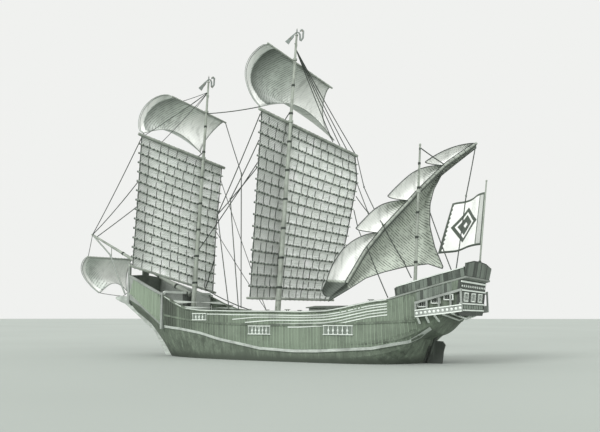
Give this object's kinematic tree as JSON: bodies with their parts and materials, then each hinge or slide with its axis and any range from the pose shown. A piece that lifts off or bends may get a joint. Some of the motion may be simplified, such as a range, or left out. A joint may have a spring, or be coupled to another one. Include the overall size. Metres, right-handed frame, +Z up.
{
  "type": "red seal ship",
  "caption": "Three-masted wooden merchant ship under sail: matted lugsails with square topsails over them, a spritsail, a mizzen lateen, bow wings and a raised poop.",
  "frame": {"origin": "on the waterline, on the centreline, amidships, 1.7 m aft of where the main mast's axis meets the water", "axes": "+X towards the bow, +Y to port, +Z up"},
  "size_m": [38.8978, 14.2983, 30.6522],
  "materials": {
    "hull_wood": "dark tarred planking",
    "dark_wood": "dark tarred timber",
    "pale_wood": "weathered bare timber",
    "deck_wood": "worn planks",
    "spar_wood": "smooth oiled spar",
    "matting": "woven reed matting",
    "dark_cloth": "heavy sailcloth",
    "pale_cloth": "light sailcloth",
    "iron": "wrought, dark"
  },
  "bodies": {
    "ship": {"hull": "hull_wood", "keel": "dark_wood", "stern_post": "dark_wood", "stem": "pale_wood", "wale_lower_port": "pale_wood", "wale_lower_starboard": "pale_wood", "wale_upper_port": "pale_wood", "wale_upper_starboard": "pale_wood", "bulwark_port": "hull_wood", "bulwark_starboard": "hull_wood", "bow_wing_port": "pale_wood", "bow_wing_starboard": "pale_wood", "bow_bulkhead": "dark_wood", "bowsprit_bitts": "dark_wood", "cabin_side_port": "hull_wood", "cabin_side_starboard": "hull_wood", "transom": "dark_wood", "cabin_front": "deck_wood", "poop_deck": "deck_wood", "poop_rail": "pale_wood", "gallery_port": "pale_wood", "gallery_starboard": "pale_wood", "foremast": "spar_wood", "mainmast": "spar_wood", "mizzenmast": "spar_wood", "bowsprit": "spar_wood", "flag_pole": "spar_wood", "flag": "pale_cloth", "hatch_main": "deck_wood", "hatch_fore": "deck_wood", "deckhouse_walls": "deck_wood", "deckhouse_roof": "dark_wood", "windlass_posts": "dark_wood"},
    "rudder_blade": {"rudder": "dark_wood"},
    "fore_sails": {"fore_lug_yard": "spar_wood", "fore_lug_boom": "spar_wood", "fore_lug_sail": "matting", "fore_topsail_yard": "spar_wood", "fore_topsail": "dark_cloth"},
    "main_sails": {"main_lug_yard": "spar_wood", "main_lug_boom": "spar_wood", "main_lug_sail": "matting", "main_topsail_yard": "spar_wood", "main_topsail": "dark_cloth"},
    "mizzen_sail": {"lateen_yard": "spar_wood", "lateen_sail": "pale_cloth"},
    "bow_sail": {"spritsail_yard": "spar_wood", "spritsail": "dark_cloth"},
    "windlass": {"windlass_drum": "spar_wood"},
    "door": {"cabin_door": "dark_wood"},
    "fore_vane": {"vane_fore": "iron"},
    "main_vane": {"vane_main": "iron"}
  },
  "joints": [
    {"name": "fore_swing", "type": "hinge", "parent": "ship", "child": "fore_sails", "pos_m": [10.36, 0, 0], "axis": [-0.0564, 0, 0.9984], "range_deg": [-20, 60]},
    {"name": "main_swing", "type": "hinge", "parent": "ship", "child": "main_sails", "pos_m": [1.732, 0, 0], "axis": [0.0754, 0, -0.9972], "range_deg": [-10, 35]},
    {"name": "mizzen_swing", "type": "hinge", "parent": "ship", "child": "mizzen_sail", "pos_m": [-9.993, 0, 0], "axis": [0.0646, 0, -0.9979], "range_deg": [-30, 1]},
    {"name": "spritsail_swing", "type": "hinge", "parent": "ship", "child": "bow_sail", "pos_m": [20.2, 0, 0], "axis": [0, 0, 1], "range_deg": [-20, 20]},
    {"name": "rudder_swing", "type": "hinge", "parent": "ship", "child": "rudder_blade", "pos_m": [-11.16, 0, 0], "axis": [-0.3387, 0, 0.9409], "range_deg": [-35, 35]},
    {"name": "windlass_turn", "type": "hinge", "parent": "ship", "child": "windlass", "pos_m": [7.3, 0, 3.62], "axis": [0, 1, 0], "continuous": true},
    {"name": "door_swing", "type": "hinge", "parent": "ship", "child": "door", "pos_m": [-10.8, 1.5, 0], "axis": [0, 0, 1], "range_deg": [0, 100]},
    {"name": "fore_vane_turn", "type": "hinge", "parent": "ship", "child": "fore_vane", "pos_m": [10.36, 0, 0], "axis": [-0.0564, 0, 0.9984], "continuous": true},
    {"name": "main_vane_turn", "type": "hinge", "parent": "ship", "child": "main_vane", "pos_m": [1.732, 0, 0], "axis": [-0.0754, 0, 0.9972], "continuous": true}
  ]
}
